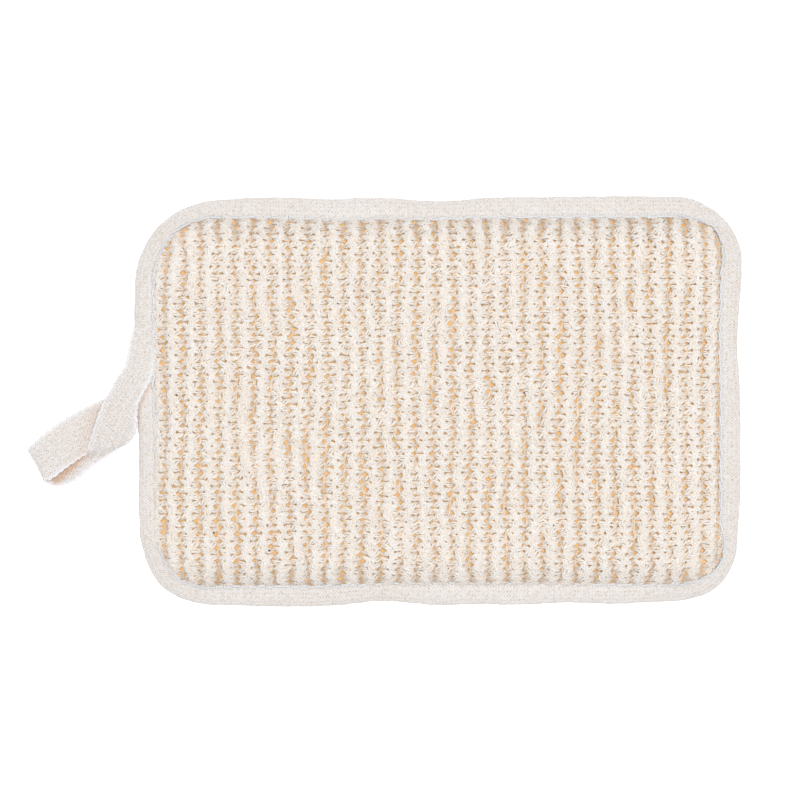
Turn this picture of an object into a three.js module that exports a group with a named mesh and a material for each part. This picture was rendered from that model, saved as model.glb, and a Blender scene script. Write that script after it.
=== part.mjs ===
// A knitted bath scrubbing pad: two crowned knit panels over a sponge core, a tape folded round the edge, a
// lockstitch that holds the tape, and a hanging loop of the same tape that swings at the middle of the left side.
//
// Millimetres. +X is along the pad's length, +Y across its width, +Z up out of its front face. The pad lies on its
// back panel, and the origin is the centre of the flat face that it rests on.

import * as THREE from "three";

// Driving dimensions.
const PAD_LENGTH = 218.8;
const PAD_WIDTH = 147.6;
const CORNER_RADIUS = { topRight: 24.5, topLeft: 32, bottomLeft: 29, bottomRight: 26.5 };
const PAD_THICKNESS = 17;
const SEAM_HEIGHT = 7; // of the plane where the two panels meet, above the resting face
const KNIT_THICKNESS = 3.1;
const RIM_THICKNESS = 0.9; // of a panel where the seam flattens it
const TAPE_THICKNESS = 0.9;
const TAPE_WIDTH = 16;
const TAPE_REACH = 8; // of the folded tape over each face
const THREAD_SIZE = 0.5;
const LOOP_LENGTH = 38; // from the root of the loop to its fold
const LOOP_ANGLE = THREE.MathUtils.degToRad(32); // the loop points left and this far towards the near side
const LOOP_INNER_HEIGHT = 5.2;
const LOOP_ROOT_Y = -1.5;

// Spaces that keep neighbouring pieces apart.
const GAP = 0.3;
const LOOP_GAP = 0.5; // between the root of the loop and the folded tape

// How finely the round shapes are divided.
const ARC_STEPS = 8;
const LOOP_STEPS = 10;

const FLAT_INSET = 62; // further in than this each panel is flat
const SHARPEST_CORNER = 4; // radius of the outline where it is moved far inwards

const CORNERS = [
  { alongX: 1, alongY: 1, radius: CORNER_RADIUS.topRight },
  { alongX: -1, alongY: 1, radius: CORNER_RADIUS.topLeft },
  { alongX: -1, alongY: -1, radius: CORNER_RADIUS.bottomLeft },
  { alongX: 1, alongY: -1, radius: CORNER_RADIUS.bottomRight },
];

// The pad's outline moved inwards by `inset`, counterclockwise from the right end of the top right corner's arc.
function outline(inset) {
  const points = [];
  CORNERS.forEach((corner, quarter) => {
    const radius = Math.max(corner.radius - inset, SHARPEST_CORNER);
    const centreX = corner.alongX * (PAD_LENGTH / 2 - inset - radius);
    const centreY = corner.alongY * (PAD_WIDTH / 2 - inset - radius);
    for (let step = 0; step <= ARC_STEPS; step += 1) {
      const angle = (Math.PI / 2) * (quarter + step / ARC_STEPS);
      const x = centreX + radius * Math.cos(angle);
      const y = centreY + radius * Math.sin(angle);
      points.push([x, y]);
    }
  });
  return points;
}

// The two triangles of each cell between ring `from` and ring `to`, of `count` points each.
function ringFaces(from, to, count) {
  const faces = [];
  for (let point = 0; point < count; point += 1) {
    const next = (point + 1) % count;
    const [a, b] = [from * count + point, from * count + next];
    const [c, d] = [to * count + next, to * count + point];
    faces.push(a, d, c, a, c, b);
  }
  return faces;
}

// A solid swept round the pad. Its section is a list of [inset, height] points, clockwise from the top seen with
// the outside of the pad to the right. A closed section makes a ring, and an open one is capped at its two ends.
function sweepRoundPad(section, closed) {
  const rings = section.map(([inset, height]) => outline(inset).map(([x, y]) => [x, y, height]));
  const count = rings[0].length;
  const positions = rings.flat(2);
  const faces = [];
  for (let ring = 0; ring + 1 < rings.length; ring += 1) {
    faces.push(...ringFaces(ring, ring + 1, count));
  }
  if (closed) {
    faces.push(...ringFaces(rings.length - 1, 0, count));
  } else {
    const lastRing = (rings.length - 1) * count;
    const top = rings.length * count;
    const bottom = top + 1;
    positions.push(0, 0, section.at(0)[1], 0, 0, section.at(-1)[1]);
    for (let point = 0; point < count; point += 1) {
      const next = (point + 1) % count;
      faces.push(top, point, next, bottom, lastRing + next, lastRing + point);
    }
  }
  const geometry = new THREE.BufferGeometry();
  geometry.setAttribute("position", new THREE.Float32BufferAttribute(positions, 3));
  geometry.setIndex(faces);
  geometry.computeVertexNormals();
  return geometry;
}

// Heights of the front panel's upper face, from the flat middle out to the tape's inner edge. The pad is full
// right up to its edge: most of its rise happens within about 10 mm of the tape.
const FRONT_CROWN = [
  [FLAT_INSET, PAD_THICKNESS],
  [40, PAD_THICKNESS - 0.1],
  [27, PAD_THICKNESS - 0.4],
  [20, PAD_THICKNESS - 1.0],
  [15.5, PAD_THICKNESS - 2.2],
  [12.5, PAD_THICKNESS - 4.0],
  [10.5, PAD_THICKNESS - 5.9],
  [9.2, PAD_THICKNESS - 7.5],
];

// Heights of the back panel's lower face, flat where the pad rests on it.
const BACK_CROWN = [
  [9.2, SEAM_HEIGHT - 2.6],
  [10.5, SEAM_HEIGHT - 4.6],
  [12.5, SEAM_HEIGHT - 6.1],
  [16, 0],
  [FLAT_INSET, 0],
];

// Inner face of each panel, where it lies against the sponge, from the seam inwards.
const FRONT_LINING = [
  [9.6, SEAM_HEIGHT + GAP / 2],
  [12.5, SEAM_HEIGHT + 2.2],
  [16, SEAM_HEIGHT + 4.6],
  [22, PAD_THICKNESS - KNIT_THICKNESS - 0.9],
  [32, PAD_THICKNESS - KNIT_THICKNESS - 0.2],
  [FLAT_INSET, PAD_THICKNESS - KNIT_THICKNESS],
];
const BACK_LINING = [
  [FLAT_INSET, KNIT_THICKNESS],
  [17, KNIT_THICKNESS],
  [13.5, KNIT_THICKNESS + 1.4],
  [9.6, SEAM_HEIGHT - GAP / 2],
];

// A panel's flattened rim inside the folded tape, `side` being 1 for the front panel and -1 for the back panel.
function rim(side) {
  const outerFace = SEAM_HEIGHT + side * (GAP / 2 + RIM_THICKNESS);
  const innerFace = SEAM_HEIGHT + (side * GAP) / 2;
  const middle = (outerFace + innerFace) / 2;
  const edge = TAPE_THICKNESS + GAP + 1;
  const fromOutside = [
    [TAPE_REACH + GAP, outerFace],
    [edge + 0.4, outerFace],
    [edge, middle],
    [edge + 0.4, innerFace],
  ];
  return side > 0 ? fromOutside : fromOutside.reverse();
}

function frontKnitGeometry() {
  return sweepRoundPad([...FRONT_CROWN, ...rim(1), ...FRONT_LINING], false);
}

function backKnitGeometry() {
  return sweepRoundPad([...BACK_LINING, ...rim(-1), ...BACK_CROWN], false);
}

// The sponge fills the space between the two linings, a gap away from each, and thins out towards the seam.
function foamCoreGeometry() {
  const front = FRONT_LINING.slice(1).map(([inset, height]) => [inset + GAP, height - GAP]);
  const back = BACK_LINING.slice(0, -1).map(([inset, height]) => [inset + GAP, height + GAP]);
  return sweepRoundPad([...front.reverse(), [11, SEAM_HEIGHT], ...back.reverse()], false);
}

// Half the height of the folded tape outside and inside, measured from the seam plane.
const TAPE_INNER_HALF = GAP / 2 + RIM_THICKNESS + GAP;
const TAPE_OUTER_HALF = TAPE_INNER_HALF + TAPE_THICKNESS;

// Points of a fold: from the front, round the edge and to the back, `half` being half the height of the fold and
// `edge` the inset of its outermost point.
function foldPoints(half, edge) {
  const points = [];
  for (let step = 0; step <= ARC_STEPS; step += 1) {
    const angle = Math.PI / 2 - (Math.PI * step) / ARC_STEPS;
    points.push([edge + half * (1 - Math.cos(angle)), SEAM_HEIGHT + half * Math.sin(angle)]);
  }
  return points;
}

function edgeBindingGeometry() {
  const outside = foldPoints(TAPE_OUTER_HALF, 0);
  const inside = foldPoints(TAPE_INNER_HALF, TAPE_THICKNESS).reverse();
  const section = [
    [TAPE_REACH, SEAM_HEIGHT + TAPE_OUTER_HALF],
    ...outside,
    [TAPE_REACH, SEAM_HEIGHT - TAPE_OUTER_HALF],
    [TAPE_REACH, SEAM_HEIGHT - TAPE_INNER_HALF],
    ...inside,
    [TAPE_REACH, SEAM_HEIGHT + TAPE_INNER_HALF],
  ];
  return sweepRoundPad(section, true);
}

// One of the two threads of the seam: a square-section ring just off the face of the tape, near its inner edge.
function seamThreadGeometry(side) {
  const near = SEAM_HEIGHT + side * (TAPE_OUTER_HALF + GAP);
  const far = near + side * THREAD_SIZE;
  const [low, high] = side > 0 ? [near, far] : [far, near];
  const inner = TAPE_REACH - THREAD_SIZE;
  const outer = inner - THREAD_SIZE;
  const section = [
    [inner, high],
    [outer, high],
    [outer, low],
    [inner, low],
  ];
  return sweepRoundPad(section, true);
}

// Side view of the loop: x is the distance from its root, y the height from its middle. Two legs of tape leave one
// thin root, part as they go out, and meet in a round fold.
function loopSideView() {
  const innerHalf = LOOP_INNER_HEIGHT / 2;
  const outerHalf = innerHalf + TAPE_THICKNESS;
  const rootHalf = TAPE_THICKNESS + GAP / 2;
  const foldCentre = LOOP_LENGTH - outerHalf;
  const rootEnd = 4;
  const partedAt = 20;
  const bend = (partedAt - rootEnd) / 2;

  const shape = new THREE.Shape();
  shape.moveTo(0, -rootHalf);
  shape.lineTo(rootEnd, -rootHalf);
  shape.bezierCurveTo(rootEnd + bend, -rootHalf, partedAt - bend, -outerHalf, partedAt, -outerHalf);
  shape.lineTo(foldCentre, -outerHalf);
  shape.absarc(foldCentre, 0, outerHalf, -Math.PI / 2, Math.PI / 2, false);
  shape.lineTo(partedAt, outerHalf);
  shape.bezierCurveTo(partedAt - bend, outerHalf, rootEnd + bend, rootHalf, rootEnd, rootHalf);
  shape.lineTo(0, rootHalf);
  shape.absarc(0, 0, rootHalf, Math.PI / 2, (3 * Math.PI) / 2, false);

  const eye = new THREE.Path();
  eye.moveTo(rootEnd + 4, 0);
  eye.bezierCurveTo(rootEnd + bend + 1, innerHalf * 0.5, partedAt - bend + 1, innerHalf, partedAt, innerHalf);
  eye.lineTo(foldCentre, innerHalf);
  eye.absarc(foldCentre, 0, innerHalf, Math.PI / 2, -Math.PI / 2, true);
  eye.lineTo(partedAt, -innerHalf);
  eye.bezierCurveTo(partedAt - bend + 1, -innerHalf, rootEnd + bend + 1, -innerHalf * 0.5, rootEnd + 4, 0);
  shape.holes.push(eye);
  return shape;
}

// The hinge line of the loop runs along Y beside the folded tape, at the height of the seam.
const LOOP_ROOT_X = -(PAD_LENGTH / 2 + LOOP_GAP + TAPE_THICKNESS + GAP / 2);

// The loop is extruded across the tape's width and then laid out: it leaves the pad square to the edge, turns to
// its own direction over the first stretch, and droops until its fold lies on the surface under the pad.
function hangingLoopGeometry() {
  const geometry = new THREE.ExtrudeGeometry(loopSideView(), {
    depth: TAPE_WIDTH,
    steps: 2,
    bevelEnabled: false,
    curveSegments: LOOP_STEPS,
  });
  const foldedHalf = LOOP_INNER_HEIGHT / 2 + TAPE_THICKNESS;
  const turnedAt = 8;
  const droopedAt = 20;
  const across = new THREE.Vector2(-Math.sin(LOOP_ANGLE), Math.cos(LOOP_ANGLE));
  const alongEdge = new THREE.Vector2(0, 1 / Math.cos(LOOP_ANGLE));
  const positions = geometry.getAttribute("position");
  for (let index = 0; index < positions.count; index += 1) {
    const out = positions.getX(index);
    const sideways = positions.getZ(index) - TAPE_WIDTH / 2;
    const turned = THREE.MathUtils.smoothstep(out, 0, turnedAt);
    const drooped = THREE.MathUtils.smoothstep(out, 0, droopedAt);
    const widthway = alongEdge.clone().lerp(across, turned);
    const x = LOOP_ROOT_X - out * Math.cos(LOOP_ANGLE) + sideways * widthway.x;
    const y = LOOP_ROOT_Y - out * Math.sin(LOOP_ANGLE) + sideways * widthway.y;
    const middle = THREE.MathUtils.lerp(SEAM_HEIGHT, foldedHalf, drooped);
    positions.setXYZ(index, x, y, middle + positions.getY(index));
  }
  geometry.computeVertexNormals();
  return geometry;
}

function softMaterial(color, roughness) {
  return new THREE.MeshStandardMaterial({ color, roughness, metalness: 0 });
}

function namedMesh(name, geometry, material) {
  const mesh = new THREE.Mesh(geometry, material);
  mesh.name = name;
  return mesh;
}

const pad = new THREE.Group();
pad.add(
  namedMesh("foam_core", foamCoreGeometry(), softMaterial("#d6a265", 0.95)),
  namedMesh("front_knit", frontKnitGeometry(), softMaterial("#ead9c6", 0.95)),
  namedMesh("back_knit", backKnitGeometry(), softMaterial("#e6d5c2", 0.95)),
  namedMesh("edge_binding", edgeBindingGeometry(), softMaterial("#ebe5e0", 0.9)),
  namedMesh("front_seam_thread", seamThreadGeometry(1), softMaterial("#ebecf0", 0.8)),
  namedMesh("back_seam_thread", seamThreadGeometry(-1), softMaterial("#e9eaee", 0.8)),
);

const scrubbingPad = new THREE.Group();
scrubbingPad.add(pad);
scrubbingPad.add(namedMesh("hanging_loop", hangingLoopGeometry(), softMaterial("#ece7e2", 0.9)));

export default scrubbingPad;
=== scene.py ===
import math

import bpy
import numpy as np
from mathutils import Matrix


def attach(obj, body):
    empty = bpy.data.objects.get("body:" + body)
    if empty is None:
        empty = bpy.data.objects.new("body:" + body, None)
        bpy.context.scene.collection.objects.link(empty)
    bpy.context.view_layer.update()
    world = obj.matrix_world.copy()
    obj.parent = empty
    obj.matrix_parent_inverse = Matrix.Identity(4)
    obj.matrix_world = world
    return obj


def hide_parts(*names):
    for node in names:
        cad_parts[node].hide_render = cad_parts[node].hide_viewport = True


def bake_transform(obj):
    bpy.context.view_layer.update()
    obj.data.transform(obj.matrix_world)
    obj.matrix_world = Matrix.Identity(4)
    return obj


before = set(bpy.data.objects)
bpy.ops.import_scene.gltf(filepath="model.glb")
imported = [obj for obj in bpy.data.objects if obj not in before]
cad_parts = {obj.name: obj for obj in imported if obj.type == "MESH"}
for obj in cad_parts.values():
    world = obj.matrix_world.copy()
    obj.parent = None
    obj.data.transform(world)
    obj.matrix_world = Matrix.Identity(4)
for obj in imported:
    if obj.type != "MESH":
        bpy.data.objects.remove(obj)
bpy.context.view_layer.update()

MM = 0.001

# Driving sizes, as in the CAD.
PAD_LENGTH = 218.8
PAD_WIDTH = 147.6
SEAM_HEIGHT = 7.0
TAPE_THICKNESS = 0.9
# The radius of the outline's corners, by the signs of their X and Y.
CORNER_RADII = {(1, 1): 24.5, (1, -1): 26.5, (-1, -1): 29.0, (-1, 1): 32.0}
# How far inside the outline the knit, the sponge and the binding's selvedge end.
KNIT_INSET = 6.6
SPONGE_INSET = 5.4
SELVEDGE_INSET = 8.0

# The knit: garter stitch, whose yarn runs across the pad in courses that stack up along it.
STITCH_PITCH = 4.65
COURSE_PITCH = 3.22
COURSES = range(-22, 54)
FIRST_VALLEY = -46.2  # where the valley before course 0 lies, measured on the cloth
LOOP_HEIGHT = 4.3  # of a stitch, along the pad
LOOP_BULGE = 1.02  # the sideways sweep that rounds a stitch into a loop
YARN_SWING = 0.95  # in and out of the cloth, on either side of its middle
LEG_LIFT = 0.3  # the share of that swing by which a stitch's legs are lifted
SEAM_SHADE_WIDTH = 17.0  # the band inside the outline where shade is painted on the knit near the seam

# The yarn: strands twisted together.
PLIES = 4
PLY_RADIUS = 0.49
PLY_ORBIT = 0.76  # from the middle of the yarn to that of a strand
TWIST_LENGTH = 6.5
INNER_THINNING = 0.7  # the share of its width that the yarn loses where it is buried

# The tape's herringbone weave.
WEAVE_PITCH = 1.05
CHEVRON_WIDTH = 3.1
CHEVRON_SLANT = 2.6  # in weave pitches, over the width of a chevron
WEAVE_RELIEF = 0.03

# The little scallops of the tape's selvedge.
SELVEDGE_PITCH = 2.7
SELVEDGE_SCALLOP = 0.15

# The lockstitch that holds the binding.
THREAD_PITCH = 3.0
THREAD_INSET = 7.35
THREAD_RADIUS = 0.52
THREAD_HEIGHTS = {1: 9.25, -1: 4.75}  # on the front and on the back


# ---------------------------------------------------------------- small helpers


def smooth_path(points, count):
    """Points evenly spaced along a smooth curve through the given ones."""
    points = np.asarray(points, float)
    ends = np.vstack([2 * points[0] - points[1], points, 2 * points[-1] - points[-2]])
    t = np.linspace(0, 1, 16, endpoint=False)[:, None]
    spans = []
    for a, b, c, d in zip(ends, ends[1:], ends[2:], ends[3:]):
        bend = 2 * a - 5 * b + 4 * c - d
        twist = 3 * b - a - 3 * c + d
        spans.append(0.5 * (2 * b + (c - a) * t + bend * t**2 + twist * t**3))
    fine = np.vstack(spans + [points[-1:]])
    length = np.concatenate([[0], np.cumsum(np.linalg.norm(np.diff(fine, axis=0), axis=1))])
    where = np.linspace(0, length[-1], count)
    return np.column_stack([np.interp(where, length, column) for column in fine.T])


def eased(share):
    """Turns a ramp from 0 to 1 into one that starts and ends gently."""
    return share * share * (3 - 2 * share)


def between(values, place):
    """Reads a ring of values at places between them, easing from each to the next."""
    index = place.astype(int)
    share = eased(place - index)
    return values[index % len(values)] * (1 - share) + values[(index + 1) % len(values)] * share


def smooth_noise(random, position, spacing):
    """Seeded noise from -1 to 1 along a line, with a new value every `spacing`."""
    place = (position - position.min()) / spacing
    return between(random.uniform(-1, 1, int(place.max()) + 3), place)


def drift(seed, x, y, wavelength):
    """A soft seeded field over the pad, from about -1 to 1."""
    random = np.random.default_rng(seed)
    total = np.zeros_like(x, dtype=float)
    for _ in range(7):
        heading = random.uniform(0, 2 * math.pi)
        length = wavelength * random.uniform(0.7, 1.5)
        phase = random.uniform(0, 2 * math.pi)
        total += np.sin(2 * math.pi * (x * math.cos(heading) + y * math.sin(heading)) / length + phase)
    return total / 3


def unit(vectors):
    return vectors / np.maximum(np.linalg.norm(vectors, axis=-1, keepdims=True), 1e-9)


class Shape:
    """Collects vertices and faces, in millimetres, for one mesh."""

    def __init__(self):
        self.points = []
        self.loops = []
        self.sizes = []
        self.values = {}
        self.layout = []
        self.strips = 0
        self.count = 0

    def add(self, points, faces, strip=None, **values):
        """faces is a list of arrays of vertex numbers, one row per face. strip says where the corners of
        the first array's faces lie on a strip of the UV map, from 0 to 1 both ways; each add has its own.
        """
        for index, rows in enumerate(faces):
            self.loops.append((np.asarray(rows) + self.count).ravel())
            self.sizes.append(np.full(len(rows), np.shape(rows)[1]))
            flat = strip if strip is not None and index == 0 else np.zeros((np.size(rows), 2))
            self.layout.append(flat + [0, self.strips])
        self.strips += 1
        for name, value in values.items():
            self.values.setdefault(name, []).append(np.broadcast_to(value, len(points)))
        self.points.append(points)
        self.count += len(points)

    def tube(self, path, radius, ring, up, **values):
        """A closed tube along path, with its two ends capped."""
        tangent = unit(np.gradient(path, axis=0))
        side = unit(np.cross(tangent, up))
        rise = np.cross(side, tangent)
        angle = np.arange(ring) * 2 * math.pi / ring
        spokes = side[:, None] * np.cos(angle)[None, :, None] + rise[:, None] * np.sin(angle)[None, :, None]
        points = (path[:, None] + spokes * radius[:, None, None]).reshape(-1, 3)
        values = {name: np.repeat(value, ring) for name, value in values.items()}
        faces = [ring_quads(len(path), ring), *end_caps(len(path), ring)]
        self.add(points, faces, ring_layout(len(path), ring), **values)

    def build(self, name, material):
        """Makes the mesh, in metres, with its values as attributes, and puts it in the scene."""
        points = np.vstack(self.points) * MM
        loops = np.concatenate(self.loops)
        sizes = np.concatenate(self.sizes)
        mesh = bpy.data.meshes.new(name)
        mesh.vertices.add(len(points))
        mesh.vertices.foreach_set("co", points.astype(np.float32).ravel())
        mesh.loops.add(len(loops))
        mesh.loops.foreach_set("vertex_index", loops.astype(np.int32))
        mesh.polygons.add(len(sizes))
        mesh.polygons.foreach_set("loop_start", (np.cumsum(sizes) - sizes).astype(np.int32))
        mesh.polygons.foreach_set("use_smooth", np.ones(len(sizes), bool))
        mesh.update(calc_edges=True)
        for value_name, parts in self.values.items():
            attribute = mesh.attributes.new(value_name, "FLOAT", "POINT")
            attribute.data.foreach_set("value", np.concatenate(parts).astype(np.float32))
        layout = np.vstack(self.layout) / [1, self.strips]
        mesh.uv_layers.new(name="OFBake").data.foreach_set("uv", layout.astype(np.float32).ravel())
        mesh.materials.append(material)
        obj = bpy.data.objects.new(name, mesh)
        bpy.context.scene.collection.objects.link(obj)
        return obj


def ring_quads(rings, ring, closed=False):
    """The four-sided faces between successive rings of points."""
    start = np.arange(rings if closed else rings - 1)[:, None] * ring
    here = np.arange(ring)[None, :]
    following = (here + 1) % ring
    above = (start + ring) % (rings * ring)
    quads = np.stack([start + here, start + following, above + following, above + here], axis=-1)
    return quads.reshape(-1, 4)


def ring_layout(rings, ring, closed=False):
    """Where the corners of ring_quads lie on a strip: along it by ring, and across it round the ring, with
    a small gap to the next strip.
    """
    start = np.arange(rings if closed else rings - 1)[:, None] + np.zeros(ring)
    here = np.arange(ring)[None, :] + np.zeros((len(start), 1))
    along = np.stack([start, start, start + 1, start + 1], axis=-1) / rings
    across = np.stack([here, here + 1, here + 1, here], axis=-1) / ring
    return np.stack([along.ravel(), 0.02 + 0.96 * across.ravel()], axis=-1)


def end_caps(rings, ring):
    """The two faces that close a tube at its ends."""
    first = np.arange(ring)[::-1]
    return [first[None, :], (first[::-1] + (rings - 1) * ring)[None, :]]


# ---------------------------------------------------------------- the pad's form


def corner_radius(x, y):
    right = np.where(y > 0, CORNER_RADII[1, 1], CORNER_RADII[1, -1])
    left = np.where(y > 0, CORNER_RADII[-1, 1], CORNER_RADII[-1, -1])
    return np.where(x > 0, right, left)


def inset_at(x, y):
    """How far inside the pad's outline a point lies."""
    radius = corner_radius(x, y)
    dx = np.abs(x) - PAD_LENGTH / 2 + radius
    dy = np.abs(y) - PAD_WIDTH / 2 + radius
    outside = np.hypot(np.maximum(dx, 0), np.maximum(dy, 0))
    return radius - outside - np.minimum(np.maximum(dx, dy), 0)


class Profile:
    """A smooth curve of height against inset, with its slope."""

    def __init__(self, points, softness=2.0):
        step = 0.1
        self.inset = np.arange(-5, 90, step)
        raw = np.interp(self.inset, *zip(*points))
        width = int(softness / step)
        kernel = np.ones(width) / width
        padded = np.pad(raw, width, mode="edge")
        self.height = np.convolve(np.convolve(padded, kernel, "same"), kernel, "same")[width:-width]
        self.slope = np.gradient(self.height, step)

    def at(self, inset):
        return np.interp(inset, self.inset, self.height)

    def slope_at(self, inset):
        return np.interp(inset, self.inset, self.slope)


# Height of each panel's outer face, and the knit's thickness, from the seam to the middle of the pad.
FRONT_FACE = Profile(
    [(5, 8.1), (6.8, 8.5), (7.8, 9.7), (8.8, 10.7), (10.2, 12.0)]
    + [(12.3, 13.5), (15.3, 15.0), (20, 16.1), (27, 16.7), (62, 17.1)]
)
BACK_FACE = Profile([(5, 5.9), (7.5, 5.8), (9.2, 4.3), (10.5, 2.4), (12.5, 0.9), (16, 0.1), (20, 0.0)])
KNIT_THICKNESS = Profile([(6, 1.5), (8.5, 2.0), (11, 3.4), (14, 4.2), (18, 4.3)])


class Panel:
    """The middle surface of one knitted panel: side is 1 for the front and -1 for the back."""

    def __init__(self, side):
        self.side = side
        self.face = FRONT_FACE if side > 0 else BACK_FACE
        self.along_x = self.arc_table(PAD_LENGTH / 2)
        self.along_y = self.arc_table(PAD_WIDTH / 2)

    def middle(self, inset):
        return self.face.at(inset) - self.side * KNIT_THICKNESS.at(inset) / 2

    def slope(self, inset):
        return self.face.slope_at(inset) - self.side * KNIT_THICKNESS.slope_at(inset) / 2

    def arc_table(self, half):
        """Distance along the cloth against distance from the middle of the pad."""
        place = np.linspace(0, half - 3, 400)
        stretch = np.hypot(1, self.slope(half - place))
        length = np.concatenate([[0], np.cumsum((stretch[1:] + stretch[:-1]) / 2 * np.diff(place))])
        return length, place

    def lay(self, across, along):
        """Where on the pad a point lies, given its distances from the middle as measured on the cloth."""
        x = np.sign(across) * np.interp(np.abs(across), *self.along_x)
        y = np.sign(along) * np.interp(np.abs(along), *self.along_y)
        return x, y

    def normal(self, x, y):
        reach = 0.2
        gx = (inset_at(x + reach, y) - inset_at(x - reach, y)) / (2 * reach)
        gy = (inset_at(x, y + reach) - inset_at(x, y - reach)) / (2 * reach)
        slope = self.slope(inset_at(x, y))
        return unit(np.stack([-slope * gx, -slope * gy, np.ones_like(gx)], axis=-1)) * self.side


# The binding's two ends meet under the hanging loop, on the left side.
RIM_START_Y = 14.0

# Small waves of the sewn edge: (x, y, outward offset, spread).
EDGE_WAVES = [
    (-106, -52, -2.3, 30),
    (-109, -14, -1.6, 18),
    (-107, 50, -0.7, 26),
    (-84, 73, -0.9, 14),
    (-38, 74, -0.7, 10),
    (0, 74, -1.4, 14),
    (68, 74, 0.35, 25),
    (107, 52, 0.6, 18),
    (109, 22, -1.1, 16),
    (109, -48, -0.9, 10),
    (85, -73, -2.0, 20),
    (47, -74, -1.5, 15),
    (16, -74, -0.9, 14),
    (-19, -74, -2.0, 15),
    (-100, -68, 1.3, 10),
    (100, -66, 0.9, 10),
]


# Where the tape is caught wider or narrower by its seam: (x, y, change of width, spread).
TAPE_WIDTHS = [
    (104, 65, -2.6, 12),
    (106, -60, -2.8, 14),
    (-95, -70, -1.4, 14),
    (-97, 66, -1.1, 18),
    (20, -74, 1.2, 40),
    (-30, 74, 0.7, 25),
    (-109, -42, 0.8, 16),
]


def bumps(point, places):
    """The sum at each point of smooth bumps, given as (x, y, height, spread)."""
    total = np.zeros(len(point))
    for x, y, height, spread in places:
        away = np.hypot(point[:, 0] - x, point[:, 1] - y)
        total += height * np.exp(-((away / spread) ** 2))
    return total


class Rim:
    """The pad's outline as a path, anticlockwise from the middle of its left side, under the loop."""

    def __init__(self):
        corners = [(-1, -1, 180), (1, -1, 270), (1, 1, 0), (-1, 1, 90)]
        points, outward = [(-PAD_LENGTH / 2, RIM_START_Y)], [(-1, 0)]
        for sx, sy, start in corners:
            radius = CORNER_RADII[sx, sy]
            for angle in np.radians(start + np.linspace(0, 90, 31)):
                direction = (math.cos(angle), math.sin(angle))
                centre = (sx * (PAD_LENGTH / 2 - radius), sy * (PAD_WIDTH / 2 - radius))
                points.append((centre[0] + radius * direction[0], centre[1] + radius * direction[1]))
                outward.append(direction)
        self.points = np.array(points + points[:1])
        self.outward = np.array(outward + outward[:1])
        gaps = np.linalg.norm(np.diff(self.points, axis=0), axis=1)
        self.distance = np.concatenate([[0], np.cumsum(gaps)])
        self.length = self.distance[-1]

    def at(self, distance):
        """The point that far round the rim, and the direction out of the pad there."""
        distance = np.mod(distance, self.length)
        point = np.column_stack([np.interp(distance, self.distance, c) for c in self.points.T])
        outward = unit(np.column_stack([np.interp(distance, self.distance, c) for c in self.outward.T]))
        return point, outward


RIM = Rim()


# ---------------------------------------------------------------- materials


def new_material(name):
    material = bpy.data.materials.new(name)
    material.use_nodes = True
    shader = material.node_tree.nodes["Principled BSDF"]
    return material, material.node_tree, shader


def link(tree, source, target):
    tree.links.new(source, target)


def noise_node(tree, scale, detail=4.0, roughness=0.6):
    coordinates = tree.nodes.new("ShaderNodeTexCoord")
    node = tree.nodes.new("ShaderNodeTexNoise")
    node.inputs["Scale"].default_value = scale
    node.inputs["Detail"].default_value = detail
    node.inputs["Roughness"].default_value = roughness
    link(tree, coordinates.outputs["Object"], node.inputs["Vector"])
    return node


def cells_node(tree, scale):
    coordinates = tree.nodes.new("ShaderNodeTexCoord")
    node = tree.nodes.new("ShaderNodeTexVoronoi")
    node.inputs["Scale"].default_value = scale
    link(tree, coordinates.outputs["Object"], node.inputs["Vector"])
    return node


def ramp_node(tree, source, stops):
    """A colour ramp: stops are (position, colour)."""
    node = tree.nodes.new("ShaderNodeValToRGB")
    while len(node.color_ramp.elements) < len(stops):
        node.color_ramp.elements.new(0.5)
    for element, (position, colour) in zip(node.color_ramp.elements, stops):
        element.position = position
        element.color = (*colour, 1)
    link(tree, source, node.inputs["Fac"])
    return node.outputs["Color"]


def mix_node(tree, blend, factor, first, second):
    """Mixes two colours; each of the last three may be a constant or a socket."""
    node = tree.nodes.new("ShaderNodeMix")
    node.data_type = "RGBA"
    node.blend_type = blend
    for value, socket in ((factor, node.inputs[0]), (first, node.inputs[6]), (second, node.inputs[7])):
        if isinstance(value, (int, float)):
            socket.default_value = value
        elif isinstance(value, tuple):
            socket.default_value = (*value, 1)
        else:
            link(tree, value, socket)
    return node.outputs[2]


def tinted(tree, first, second):
    return mix_node(tree, "MULTIPLY", 1.0, first, second)


def maths(tree, operation, first, second=None, third=None):
    node = tree.nodes.new("ShaderNodeMath")
    node.operation = operation
    for value, socket in zip((first, second, third), node.inputs):
        if isinstance(value, (int, float)):
            socket.default_value = value
        elif value is not None:
            link(tree, value, socket)
    return node.outputs[0]


def attribute_node(tree, name):
    node = tree.nodes.new("ShaderNodeAttribute")
    node.attribute_name = name
    return node.outputs["Fac"]


def bump_node(tree, height, distance, strength=1.0):
    node = tree.nodes.new("ShaderNodeBump")
    node.inputs["Distance"].default_value = distance
    node.inputs["Strength"].default_value = strength
    link(tree, height, node.inputs["Height"])
    return node.outputs["Normal"]


def occlusion_node(tree, distance):
    """How open the surface is, from 0 in a crevice to 1 on a ridge."""
    node = tree.nodes.new("ShaderNodeAmbientOcclusion")
    node.samples = 4
    node.inputs["Distance"].default_value = distance
    return node.outputs["AO"]


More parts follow.
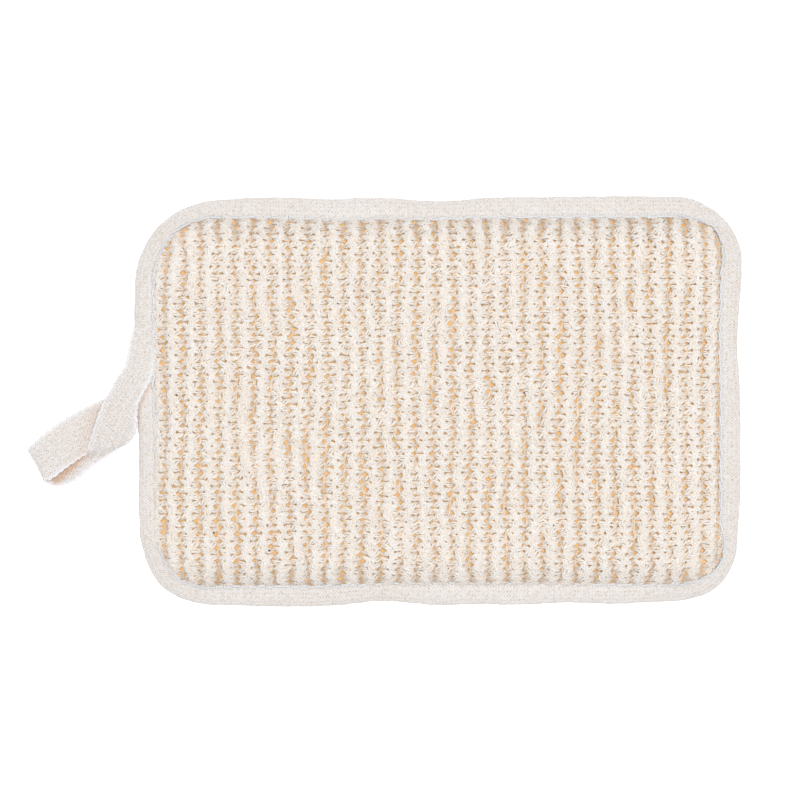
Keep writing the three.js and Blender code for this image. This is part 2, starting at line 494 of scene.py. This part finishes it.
def add_specks(tree, colour, speck, scale, amount):
    """Rare dark bits of seed husk caught in the fibre: `amount` is the share of cells that have one."""
    cells = cells_node(tree, scale)
    shade = tree.nodes.new("ShaderNodeSeparateColor")
    link(tree, cells.outputs["Color"], shade.inputs["Color"])
    chosen = maths(tree, "LESS_THAN", shade.outputs[0], amount)
    near = maths(tree, "LESS_THAN", cells.outputs["Distance"], 0.22)
    return mix_node(tree, "MIX", maths(tree, "MULTIPLY", chosen, near), colour, speck)


def knit_material():
    """Undyed cotton and plant-fibre yarn: cream, a little mottled, with short fibres that catch the light."""
    material, tree, shader = new_material("knit_yarn")
    mottle = noise_node(tree, 240.0, 5.0)
    fibres = noise_node(tree, 1900.0, 3.0)
    depth = attribute_node(tree, "depth")
    face = ramp_node(tree, mottle.outputs["Fac"], [(0.3, (0.94, 0.90, 0.85)), (0.6, (0.97, 0.955, 0.94))])
    # Painted warm shade on the buried yarn: the deeper it lies, the more orange.
    inside = ramp_node(tree, depth, [(0.6, (1.0, 1.0, 1.0)), (1.0, (1.0, 0.92, 0.81))])
    # Painted shade from the AO node: warm and darker in crevices, near white between, a little greyer on open
    # faces.
    crevice_shade_stops = [(0.08, (1.0, 0.79, 0.53)), (0.45, (1.0, 0.985, 0.965)), (0.8, (0.83, 0.83, 0.83))]
    shade = ramp_node(tree, occlusion_node(tree, 0.0016), crevice_shade_stops)
    base = tinted(tree, face, tinted(tree, inside, shade))
    # Painted shade near the seam: darker and browner in the grooves between ridges, more the nearer the seam.
    seam_pinch_and_shade = ramp_node(tree, depth, [(0.35, (0.88, 0.88, 0.89)), (0.85, (0.64, 0.57, 0.50))])
    base = mix_node(tree, "MULTIPLY", attribute_node(tree, "hem"), base, seam_pinch_and_shade)
    streak = ramp_node(tree, fibres.outputs["Fac"], [(0.38, (0.90, 0.78, 0.66)), (0.58, (1.0, 1.0, 1.0))])
    colour = mix_node(tree, "MULTIPLY", 0.6, base, streak)
    colour = add_specks(tree, colour, (0.16, 0.09, 0.06), 450.0, 0.004)
    link(tree, colour, shader.inputs["Base Color"])
    shader.inputs["Roughness"].default_value = 0.95
    shader.inputs["Specular IOR Level"].default_value = 0.15
    shader.inputs["Sheen Weight"].default_value = 0.6
    shader.inputs["Sheen Roughness"].default_value = 0.5
    link(tree, bump_node(tree, fibres.outputs["Fac"], 0.0003), shader.inputs["Normal"])
    return material


def sponge_material():
    """Open-celled tan sponge."""
    material, tree, shader = new_material("sponge")
    pores = cells_node(tree, 900.0)
    patches = noise_node(tree, 60.0)
    base = ramp_node(tree, patches.outputs["Fac"], [(0.3, (0.85, 0.52, 0.23)), (0.7, (0.91, 0.58, 0.28))])
    # Painted shade in the pores: darker at their middles, where the bump sinks them.
    shade = ramp_node(tree, pores.outputs["Distance"], [(0.0, (0.8, 0.7, 0.6)), (0.35, (1.0, 1.0, 1.0))])
    link(tree, mix_node(tree, "MULTIPLY", 0.6, base, shade), shader.inputs["Base Color"])
    shader.inputs["Roughness"].default_value = 0.9
    shader.inputs["Specular IOR Level"].default_value = 0.2
    link(tree, bump_node(tree, pores.outputs["Distance"], 0.0006), shader.inputs["Normal"])
    return material


def tape_material():
    """Bleached cotton herringbone tape, woven along the `along` and `across` values of its mesh."""
    material, tree, shader = new_material("cotton_tape")
    along = attribute_node(tree, "along")
    across = attribute_node(tree, "across")
    side = maths(tree, "PINGPONG", maths(tree, "DIVIDE", across, CHEVRON_WIDTH), 0.5)
    phase = maths(tree, "MULTIPLY_ADD", side, CHEVRON_SLANT, maths(tree, "DIVIDE", along, WEAVE_PITCH))
    phase = maths(tree, "ADD", phase, noise_node(tree, 420.0, 2.0).outputs["Fac"])
    marks = maths(tree, "SINE", maths(tree, "MULTIPLY", phase, 2 * math.pi))
    gutter = maths(tree, "MINIMUM", side, maths(tree, "SUBTRACT", 0.5, side))
    ridge = maths(tree, "MINIMUM", maths(tree, "MULTIPLY", gutter, 7.0), 1.0)
    uneven = noise_node(tree, 1100.0, 3.0)
    floats = maths(tree, "MULTIPLY_ADD", marks, 0.16, maths(tree, "MULTIPLY", ridge, 0.1))
    weave = maths(tree, "ADD", floats, uneven.outputs["Fac"])
    # Painted shade of the weave: darker brown in the low places between floats and in the chevrons' gutters;
    # the bump gives the same relief.
    float_shade_stops = [(0.25, (0.56, 0.46, 0.39)), (0.48, (0.705, 0.665, 0.63)), (0.8, (0.775, 0.75, 0.745))]
    tint = ramp_node(tree, weave, float_shade_stops)
    tint = mix_node(tree, "MIX", attribute_node(tree, "selvedge"), tint, (0.82, 0.82, 0.85))
    soil = noise_node(tree, 35.0, 3.0)
    cloth = ramp_node(tree, soil.outputs["Fac"], [(0.3, (0.96, 0.945, 0.93)), (0.7, (1.0, 1.0, 1.0))])
    # Painted warm shade where layers of tape meet: the slit by the loop, the loop's mouth and its crossing.
    warmth = attribute_node(tree, "warmth")
    shaded = mix_node(tree, "MIX", warmth, (1.0, 1.0, 1.0), (0.83, 0.61, 0.48))
    colour = tinted(tree, tinted(tree, tint, cloth), shaded)
    colour = add_specks(tree, colour, (0.22, 0.13, 0.10), 500.0, 0.002)
    link(tree, colour, shader.inputs["Base Color"])
    shader.inputs["Roughness"].default_value = 0.9
    shader.inputs["Specular IOR Level"].default_value = 0.15
    shader.inputs["Sheen Weight"].default_value = 0.4
    link(tree, bump_node(tree, weave, 0.0004), shader.inputs["Normal"])
    return material


def thread_material():
    """White sewing thread, two strands twisted together."""
    material, tree, shader = new_material("sewing_thread")
    along = attribute_node(tree, "along")
    twist_length = 0.5
    twist = maths(tree, "SINE", maths(tree, "MULTIPLY", along, 2 * math.pi / twist_length))
    # Painted shade of the twist: darker in the low half of each turn, where the bump sinks.
    colour = ramp_node(tree, twist, [(0.0, (0.74, 0.74, 0.755)), (0.6, (0.83, 0.825, 0.84))])
    link(tree, colour, shader.inputs["Base Color"])
    shader.inputs["Roughness"].default_value = 0.6
    link(tree, bump_node(tree, twist, 0.00008), shader.inputs["Normal"])
    return material


def floor_material():
    """A light table: a white sheet that glows a little, so that its edge fades into the room."""
    material, tree, shader = new_material("light_table")
    paper = noise_node(tree, 20.0)
    colour = ramp_node(tree, paper.outputs["Fac"], [(0.3, (0.86, 0.86, 0.86)), (0.7, (0.88, 0.88, 0.88))])
    link(tree, colour, shader.inputs["Base Color"])
    shader.inputs["Roughness"].default_value = 1.0
    shader.inputs["Specular IOR Level"].default_value = 0.0
    shader.inputs["Emission Color"].default_value = (1, 1, 1, 1)
    shader.inputs["Emission Strength"].default_value = 0.62
    return material


# ---------------------------------------------------------------- camera, floor and light


def add_camera():
    """Straight down on the pad through a long lens, framing 288 mm at the height of the seam."""
    data = bpy.data.cameras.new("camera")
    data.lens = 150
    data.sensor_width = 36
    frame_width = 288.0
    distance = frame_width * data.lens / data.sensor_width
    camera = bpy.data.objects.new("camera", data)
    frame_middle = (-13.3, 0.7)
    camera.location = (frame_middle[0] * MM, frame_middle[1] * MM, (SEAM_HEIGHT + distance) * MM)
    bpy.context.scene.collection.objects.link(camera)
    bpy.context.scene.camera = camera


def add_floor():
    """A square sheet, in metres, just below the pad so that the two don't share a plane."""
    half = 1.6
    drop = 0.0004
    corners = [(-half, -half, 0), (half, -half, 0), (half, half, 0), (-half, half, 0)]
    mesh = bpy.data.meshes.new("floor")
    mesh.from_pydata(corners, [], [(0, 1, 2, 3)])
    mesh.materials.append(floor_material())
    floor = bpy.data.objects.new("floor", mesh)
    floor.location.z = -drop
    bpy.context.scene.collection.objects.link(floor)


def add_area_light(name, location, size, power):
    """A round soft light that points at the pad."""
    data = bpy.data.lights.new(name, "AREA")
    data.shape = "DISK"
    data.size = size
    data.energy = power
    light = bpy.data.objects.new(name, data)
    light.location = location
    light.rotation_euler = (-light.location).to_track_quat("-Z", "Y").to_euler()
    bpy.context.scene.collection.objects.link(light)


def add_lights():
    """An even room and one soft key light almost above the pad, shown in plain colours."""
    world = bpy.data.worlds.new("studio")
    world.use_nodes = True
    background = world.node_tree.nodes["Background"]
    background.inputs["Color"].default_value = (1, 1, 1, 1)
    background.inputs["Strength"].default_value = 0.38
    bpy.context.scene.world = world
    add_area_light("key", (0.1, 0.1, 2.2), 0.7, 44.5)
    bpy.context.scene.view_settings.view_transform = "Standard"


# ---------------------------------------------------------------- the knit


def unevenness(random, position, spread):
    """A random number for each whole position, read smoothly between them."""
    values = random.normal(0, spread, int(position[-1]) + 4).clip(-2 * spread, 2 * spread)
    return between(values, position)


def drifted(across, along, middle):
    """Moves a course off its straight line, as hand-knitted cloth wanders."""
    lean = drift(11, np.full_like(along, middle), along, 55.0)
    across = across + 0.8 * lean + 0.35 * drift(13, across, along, 15.0)
    return across, along + 0.8 * drift(12, across, along, 60.0)


def within_knit(x, y):
    """Whether points lie inside the knit's edge, which follows the tape where that is narrow."""
    narrowing = bumps(np.column_stack([x, y]), TAPE_WIDTHS).clip(-3, 0)
    return inset_at(x, y) > KNIT_INSET + narrowing


def hem_shade(y, inset):
    """How much painted shade the knit gets near the seam, from 0 to 1: most at the ends of the courses."""
    fade = 9.0
    course_ends = np.clip((SEAM_SHADE_WIDTH - PAD_WIDTH / 2 + np.abs(y)) / fade, 0, 1)
    return np.maximum(course_ends, 0.35 * np.clip((SEAM_SHADE_WIDTH - inset) / fade, 0, 1))


def course_path(panel, course, steps, random):
    """The yarn's middle line along one course, clipped to the pad, or None if hardly any of it is left.
    With it come, for each of its points, the cloth's normal, how flat the yarn is pressed, how much it
    thins where it is buried, how deep it lies, and how much painted shade it gets near the seam.
    """
    stitches = int(PAD_WIDTH / STITCH_PITCH) + 8
    position = np.linspace(0, stitches, stitches * steps + 1)
    nudge_along = unevenness(random, position, 0.16)
    nudge_across = unevenness(random, position, 0.34)
    closing = unevenness(random, 2 * position, 0.2)
    tall = 1 + unevenness(random, 2 * position, 0.09)
    proud = 1 + unevenness(random, 2 * position, 0.18)
    turn = 2 * math.pi * position
    middle = FIRST_VALLEY + (course + 0.5) * COURSE_PITCH
    along = (position - stitches / 2) * STITCH_PITCH + LOOP_BULGE * np.sin(2 * turn) + nudge_along
    across = middle - LOOP_HEIGHT / 2 * tall * np.cos(turn) + nudge_across
    x, y = panel.lay(*drifted(across, along, middle))
    keep = within_knit(x, y)
    if np.count_nonzero(keep) < 3 * steps:
        return None
    x, y, turn, proud, closing = (values[keep] for values in (x, y, turn, proud, closing))
    inset = inset_at(x, y)
    normal = panel.normal(x, y)
    thickness = KNIT_THICKNESS.at(inset)
    squeeze = np.clip((thickness - 1.6) / 2.6, 0.08, 1)
    face = 1 if course % 2 == 0 else -1
    swing = -face * np.cos(turn)
    depth = 0.5 - swing / 2
    swing = (swing + LEG_LIFT * np.sin(turn) ** 2) * YARN_SWING * proud * squeeze
    path = np.column_stack([x, y, panel.middle(inset)]) + normal * swing[:, None]
    flatness = 0.85 * np.clip(thickness / 3.4, 0.4, 1)
    return path, normal, flatness, INNER_THINNING * (1 - closing), depth, hem_shade(y, inset)


def ply_paths(path, normal, flatness, thinning, depth, random):
    """The strands of one yarn, twisted round its middle line, with the crimp of raw fibre."""
    steps = np.linalg.norm(np.diff(path, axis=0), axis=1)
    distance = np.concatenate([[0], np.cumsum(steps)])
    tangent = unit(np.gradient(path, axis=0))
    side = unit(np.cross(tangent, normal))
    rise = np.cross(side, tangent)
    buried = np.clip((depth - 0.45) / 0.55, 0, 1)
    fullness = 1 - np.minimum(thinning, 0.85) * eased(buried)
    start = random.uniform(0, 2 * math.pi)
    wander = 0.9 * smooth_noise(random, distance, 9.0)
    for ply in range(PLIES):
        angle = 2 * math.pi * (distance / TWIST_LENGTH + ply / PLIES) + start + wander
        orbit = PLY_ORBIT * fullness * (1 + 0.25 * smooth_noise(random, distance, 3.0))
        strand = path + side * (orbit * np.cos(angle))[:, None]
        strand = strand + rise * (orbit * np.sin(angle) * flatness)[:, None]
        for axis in range(3):
            strand[:, axis] += 0.2 * smooth_noise(random, distance, 1.3)
        width = 1 + 0.18 * smooth_noise(random, distance, 2.2)
        yield strand, PLY_RADIUS * fullness * width * flatness**0.5


def build_knit(name, side, steps, ring, bands, material):
    """One garter-stitch panel, in bands of whole courses, pressed flat where it would go below height 0.
    Each stitch has `steps` points along its yarn, and each strand `ring` points round it.
    """
    panel = Panel(side)
    random = np.random.default_rng(41 if side > 0 else 42)
    paths = [course_path(panel, course, steps, random) for course in COURSES]
    courses = [found for found in paths if found is not None]
    for band, group in enumerate(np.array_split(np.arange(len(courses)), bands)):
        shape = Shape()
        for index in group:
            path, normal, flatness, thinning, depth, hem = courses[index]
            for strand, radius in ply_paths(path, normal, flatness, thinning, depth, random):
                shape.tube(strand, radius, ring, normal, depth=depth, hem=hem)
        for points in shape.points:
            np.maximum(points[:, 2], 0, out=points[:, 2])
        piece = shape.build(f"{name}_{band + 1}", material)
        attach(piece, "pad")
        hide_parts(name)


# ---------------------------------------------------------------- the sponge core


def sponge_grid(columns, rows):
    """Points over the whole sheet, drawn in at its rounded corners."""
    half_length = PAD_LENGTH / 2 - SPONGE_INSET
    half_width = PAD_WIDTH / 2 - SPONGE_INSET
    u = np.linspace(-1, 1, columns)
    v = np.linspace(-1, 1, rows)
    x, y = np.meshgrid(u * half_length, v * half_width, indexing="ij")
    excess = np.maximum(SPONGE_INSET - inset_at(x, y), 0)
    pull = 1 - excess / np.maximum(np.hypot(x, y), 1)
    return x * pull, y * pull


def slab_faces(columns, rows):
    """The faces of a grid, of its copy below it, and of the wall that joins their borders."""
    grid = np.arange(columns * rows).reshape(columns, rows)
    up = np.stack([grid[:-1, :-1], grid[1:, :-1], grid[1:, 1:], grid[:-1, 1:]], axis=-1).reshape(-1, 4)
    border = np.concatenate([grid[:-1, 0], grid[-1, :-1], grid[:0:-1, -1], grid[0, :0:-1]])
    following = np.roll(border, -1)
    lower = columns * rows
    wall = np.stack([border + lower, following + lower, following, border], axis=-1)
    return [up, up[:, ::-1] + lower, wall]


def build_sponge(material):
    """The sponge sheet fills the pad between the two panels, and is thin where the seam pinches it."""
    columns, rows = 220, 150
    seam_pinch_and_shade = 0.15
    pressed = 0.3
    x, y = sponge_grid(columns, rows)
    inset = inset_at(x, y)
    knit = KNIT_THICKNESS.at(inset) - pressed
    front = np.maximum(FRONT_FACE.at(inset) - knit, SEAM_HEIGHT + seam_pinch_and_shade)
    back = np.minimum(BACK_FACE.at(inset) + knit, SEAM_HEIGHT - seam_pinch_and_shade)
    texture = 0.18 * drift(5, x, y, 4.0) * np.clip((inset - 7) / 3, 0, 1)
    top = np.stack([x, y, front + texture], axis=-1).reshape(-1, 3)
    bottom = np.stack([x, y, back - texture], axis=-1).reshape(-1, 3)
    faces = slab_faces(columns, rows)
    spread = np.stack([x, y], axis=-1).reshape(-1, 2) / [PAD_LENGTH, PAD_WIDTH] + 0.5
    shape = Shape()
    shape.add(np.vstack([top, bottom]), faces, spread[faces[0].ravel()])
    piece = shape.build("sponge_core", material)
    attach(piece, "pad")
    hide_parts("foam_core")


# ---------------------------------------------------------------- the binding

# The folded tape's section, as (inset, height): its outside from the front's selvedge round the pad's edge
# to the back's, and its inside the other way.
BINDING_OUTSIDE = [
    (8.0, 9.2),
    (6.5, 9.35),
    (4.5, 9.5),
    (2.5, 9.35),
    (1.0, 8.75),
    (0.25, 7.95),
    (0, 7.0),
    (0.25, 6.05),
    (1.0, 5.25),
    (2.5, 4.7),
    (4.5, 4.55),
    (6.5, 4.7),
    (8.0, 4.8),
]
BINDING_INSIDE = [(8.0, 5.6), (4.5, 5.4), (2.0, 5.6), (1.0, 7.0), (2.0, 8.4), (4.5, 8.6), (8.0, 8.4)]
# The slit between the binding and the loop's start, where warm shade is painted on the binding.
SLIT = [(-103.6, 6.0), (-105.8, 1.6), (-107.4, -3.0), (-108.0, -10.4)]


def near_line(x, y, line, width):
    """1 on the line, falling to 0 a few widths away."""
    path = smooth_path([(*point, 0) for point in line], 40)
    away = np.hypot(x[..., None] - path[:, 0], y[..., None] - path[:, 1]).min(axis=-1)
    return np.exp(-((away / width) ** 2))


def periodic_noise(random, distance, count):
    """Noise round the rim whose ends meet: `count` values from -1 to 1."""
    return between(random.uniform(-1, 1, count), distance / RIM.length * count)


def binding_section():
    """The section's points, and how far across the flat tape each of them lies."""
    outside = smooth_path(BINDING_OUTSIDE, 44)
    inside = smooth_path(BINDING_INSIDE, 10)
    gaps = np.linalg.norm(np.diff(outside, axis=0), axis=1)
    across = np.concatenate([[0], np.cumsum(gaps)])
    inside_across = np.linspace(across[-1], 0, len(inside))
    return np.vstack([outside, inside]), np.concatenate([across, inside_across])


def sweep_binding(section, distance):
    """Carries the section round the rim: x, y and z by station and by point of the section. The tape dips
    at its seam, most at each stitch, puckers beside it, and follows the waves of the sewn edge.
    """
    point, outward = RIM.at(distance)
    random = np.random.default_rng(7)
    long_wave = periodic_noise(random, distance, 60)
    short_wave = periodic_noise(random, distance, 230)[:, None]
    stitches = np.round(RIM.length / THREAD_PITCH)
    stitch = np.cos(2 * math.pi * stitches * distance / RIM.length)
    inset = section[None, :, 0]
    height = section[None, :, 1]
    front = np.clip((height - SEAM_HEIGHT) / 2, -1, 1)
    inward = np.clip(inset / SELVEDGE_INSET, 0, 1)
    seam = np.exp(-(((inset - THREAD_INSET) / 0.8) ** 2))
    dip = 0.3 * seam * (1 - 0.5 * stitch[:, None])
    pucker = 0.14 * np.sin(math.pi * inward) * short_wave
    z = height + front * (pucker - dip)
    sway = 0.22 * stitch + 0.35 * long_wave + bumps(point, TAPE_WIDTHS)
    reach = inset + inward**3 * sway[:, None]
    wave = bumps(point, EDGE_WAVES)[:, None] * (1 - inward * 0.7)
    offset = wave - reach + 0.12 * short_wave * (1 - inward)
    return point[:, :1] + outward[:, :1] * offset, point[:, 1:] + outward[:, 1:] * offset, z


def build_binding(material):
    """Tape folded over the pad's raw edge all round, puckered by its lockstitch."""
    stations = 1720
    distance = np.arange(stations) * RIM.length / stations
    section, across = binding_section()
    x, y, z = sweep_binding(section, distance)
    ring = len(section)
    selvedge = np.exp(-(((section[:, 0] - SELVEDGE_INSET) / 0.9) ** 2))
    shape = Shape()
    shape.add(
        np.stack([x, y, z], axis=-1).reshape(-1, 3),
        [ring_quads(stations, ring, closed=True)],
        ring_layout(stations, ring, closed=True),
        along=np.repeat(distance, ring),
        across=np.tile(across, stations),
        selvedge=np.tile(selvedge, stations),
        # Painted warm shade on the binding along the slit by the loop.
        warmth=0.55 * near_line(x, y, SLIT, 1.0).ravel(),
    )
    piece = shape.build("binding_tape", material)
    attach(piece, "pad")
    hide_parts("edge_binding")


def build_thread(name, side, material):
    """The lockstitch on one side: a stitch lies on the tape, dives in, and the next comes up."""
    count = int(round(RIM.length / THREAD_PITCH))
    length = RIM.length / count
    points = 9
    share = np.linspace(0, 1, points)
    rise = 0.3 * np.sin(math.pi * share) ** 0.6 - 0.22
    height = THREAD_HEIGHTS[side] + side * rise
    radius = THREAD_RADIUS * (0.8 + 0.2 * np.sin(math.pi * share))
    random = np.random.default_rng(21 if side > 0 else 22)
    shape = Shape()
    for stitch in range(count):
        slope = random.normal(0, 0.3)
        distance = (stitch + np.linspace(-0.02, 1.02, points)) * length
        point, outward = RIM.at(distance)
        sway = 0.25 * math.sin(2.4 * stitch) + slope * (share - 0.5)
        inset = THREAD_INSET + sway + bumps(point, TAPE_WIDTHS) - bumps(point, EDGE_WAVES) * 0.35
        path = np.column_stack([point - outward * inset[:, None], height])
        shape.tube(path, radius, 8, np.array([0.0, 0.0, 1.0]), along=distance)
    piece = shape.build(f"{name}_stitches", material)
    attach(piece, "pad")
    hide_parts(name)


# ---------------------------------------------------------------- the hanging loop

# The loop's tape from its sewn start on the binding, round the fold and back under the pad's edge. Each line
# is one place along the tape: its left selvedge and its right one, as x, y, z, and how far it has turned
# over, from 0 where it lies face up to 1 where it lies face down.
LOOP_STATIONS = [
    (-109.2, 27.0, 8.6, -101.4, 26.0, 8.5, 0),
    (-110.6, 21.0, 8.9, -101.4, 20.0, 8.8, 0),
    (-112.2, 13.0, 9.4, -101.9, 11.5, 9.4, 0),
    (-115.4, 8.3, 9.4, -103.5, 6.4, 9.8, 0),
    (-117.5, 4.1, 9.2, -105.4, 3.0, 9.9, 0),
    (-119.8, 0.5, 8.9, -107.0, -0.6, 9.9, 0),
    (-121.5, -3.5, 8.5, -107.5, -3.6, 9.8, 0),
    (-122.8, -7.0, 8.1, -107.6, -7.4, 9.6, 0),
    (-124.6, -12.0, 6.9, -108.2, -11.2, 9.1, 0),
    (-126.2, -17.2, 6.1, -110.6, -14.6, 8.0, 0),
    (-126.8, -18.6, 5.7, -114.2, -16.8, 7.3, 0),
    (-127.4, -19.2, 5.1, -118.4, -19.4, 6.4, 0),
    (-128.8, -18.8, 4.2, -122.6, -22.2, 5.4, 0),
    (-131.6, -17.4, 3.3, -126.8, -25.6, 4.4, 0),
    (-136.0, -16.2, 2.4, -130.8, -28.6, 3.3, 0),
    (-141.0, -16.0, 1.6, -134.8, -30.2, 2.3, 0),
    (-145.6, -16.5, 1.0, -138.6, -30.4, 1.6, 0.05),
    (-147.5, -17.1, 2.4, -141.2, -29.2, 2.9, 0.35),
    (-147.4, -16.6, 4.6, -140.9, -28.5, 5.0, 0.7),
    (-145.6, -15.0, 6.2, -138.4, -27.6, 6.6, 0.95),
    (-141.8, -11.6, 6.5, -134.2, -24.4, 6.8, 1),
    (-135.7, -7.0, 6.0, -128.7, -20.6, 6.4, 1),
    (-129.5, -3.3, 5.4, -122.6, -16.8, 5.4, 1),
    (-122.0, 0.2, 5.4, -115.6, -12.8, 5.4, 1),
    (-115.0, 3.2, 5.8, -110.0, -9.0, 5.8, 1),
    (-108.0, 6.0, 6.4, -104.0, -6.0, 6.4, 1),
]
# The mouth of the loop, where its returning leg lies over the outgoing one, and warm shade is painted on the
# outgoing one.
MOUTH = [(-137.6, -28.2), (-133.6, -24.9), (-127.6, -19.2)]
# Where the returning leg lies over the outgoing one's left selvedge: a point of that line and its normal.
# Warm shade is painted on the returning leg along it.
CROSSING_POINT = (-123.6, -8.3)
CROSSING_NORMAL = (0.953, -0.303)
# The way the loop points, from the pad.
LOOP_HEADING = np.array([-0.85, -0.53, 0.0])


def loop_surface(left, right, turned, along, share):
    """The tape's middle surface, with scalloped selvedges and a slight cup, the direction its top faces, and
    how far across the tape each point lies.
    """
    turn = math.pi * turned
    up = np.cos(turn) * np.array([0, 0, 1]) - np.sin(turn) * LOOP_HEADING
    rule = unit(right - left)
    up = unit(up - rule * np.sum(up * rule, axis=1, keepdims=True))
    scallop = SELVEDGE_SCALLOP * np.cos(2 * math.pi * along / SELVEDGE_PITCH)[:, None]
    left, right = left - rule * scallop, right + rule * scallop
    surface = left[:, None] + (right - left)[:, None] * share[None, :, None]
    cup = 0.35 * np.sin(math.pi * share)
    width = np.linalg.norm(right - left, axis=1)
    return surface + up[:, None] * cup[None, :, None], up, share[None, :] * width[:, None]


def loop_warmth(x, y, turned):
    """The painted warm shade of the outgoing leg in the loop's mouth, and of the returning one at its
    crossing.
    """
    mouth = near_line(x, y, MOUTH, 1.7)
    shift_x = (x - CROSSING_POINT[0]) * CROSSING_NORMAL[0]
    shift_y = (y - CROSSING_POINT[1]) * CROSSING_NORMAL[1]
    crossing = np.abs(shift_x + shift_y) / 4.0
    return mouth * (1 - turned) + 0.28 * np.exp(-(crossing**2)) * turned


def both_faces(top, bottom):
    """The values of the tape's two faces in the order of a ring: across the top and back below."""
    return np.concatenate([top, bottom[:, ::-1]], axis=1)


def build_loop(material):
    """The tail of the tape, folded back on itself into a loop."""
    lengthwise, widthwise = 480, 56
    stations = smooth_path(LOOP_STATIONS, lengthwise)
    left, right = stations[:, :3], stations[:, 3:6]
    turned = np.clip(stations[:, 6:], 0, 1)
    steps = np.linalg.norm(np.diff((left + right) / 2, axis=0), axis=1)
    along = np.concatenate([[0], np.cumsum(steps)])
    share = np.linspace(0, 1, widthwise)
    surface, up, across = loop_surface(left, right, turned, along, share)
    chevron = np.abs((across / CHEVRON_WIDTH + 0.5) % 1 - 0.5)
    weave = np.sin(2 * math.pi * (along[:, None] / WEAVE_PITCH + CHEVRON_SLANT * chevron))
    edge = np.minimum(share, 1 - share) * widthwise / 2
    plump = np.sqrt(np.clip(edge, 0.15, 1))
    half = up[:, None] * (TAPE_THICKNESS / 2 * plump[None, :, None] + WEAVE_RELIEF * weave[:, :, None])
    # Painted warm shade in the loop's mouth and along its crossing.
    warmth = loop_warmth(surface[..., 0], surface[..., 1], turned)
    selvedge = np.exp(-((np.minimum(across, across[:, ::-1]) / 1.1) ** 2))
    ring = 2 * widthwise
    shape = Shape()
    shape.add(
        both_faces(surface + half, surface - half).reshape(-1, 3),
        [ring_quads(lengthwise, ring), *end_caps(lengthwise, ring)],
        ring_layout(lengthwise, ring),
        along=np.repeat(along, ring),
        across=both_faces(across, across).ravel(),
        warmth=both_faces(warmth, warmth).ravel(),
        selvedge=both_faces(selvedge, selvedge).ravel(),
    )
    piece = shape.build("loop_tape", material)
    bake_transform(piece)
    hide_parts("hanging_loop")


# ---------------------------------------------------------------- the whole pad


add_camera()
add_floor()
add_lights()

yarn = knit_material()
tape = tape_material()
thread = thread_material()

build_sponge(sponge_material())
build_knit("front_knit", side=1, steps=24, ring=5, bands=11, material=yarn)
build_knit("back_knit", side=-1, steps=16, ring=4, bands=6, material=yarn)
build_binding(tape)
build_thread("front_seam_thread", side=1, material=thread)
build_thread("back_seam_thread", side=-1, material=thread)
build_loop(tape)
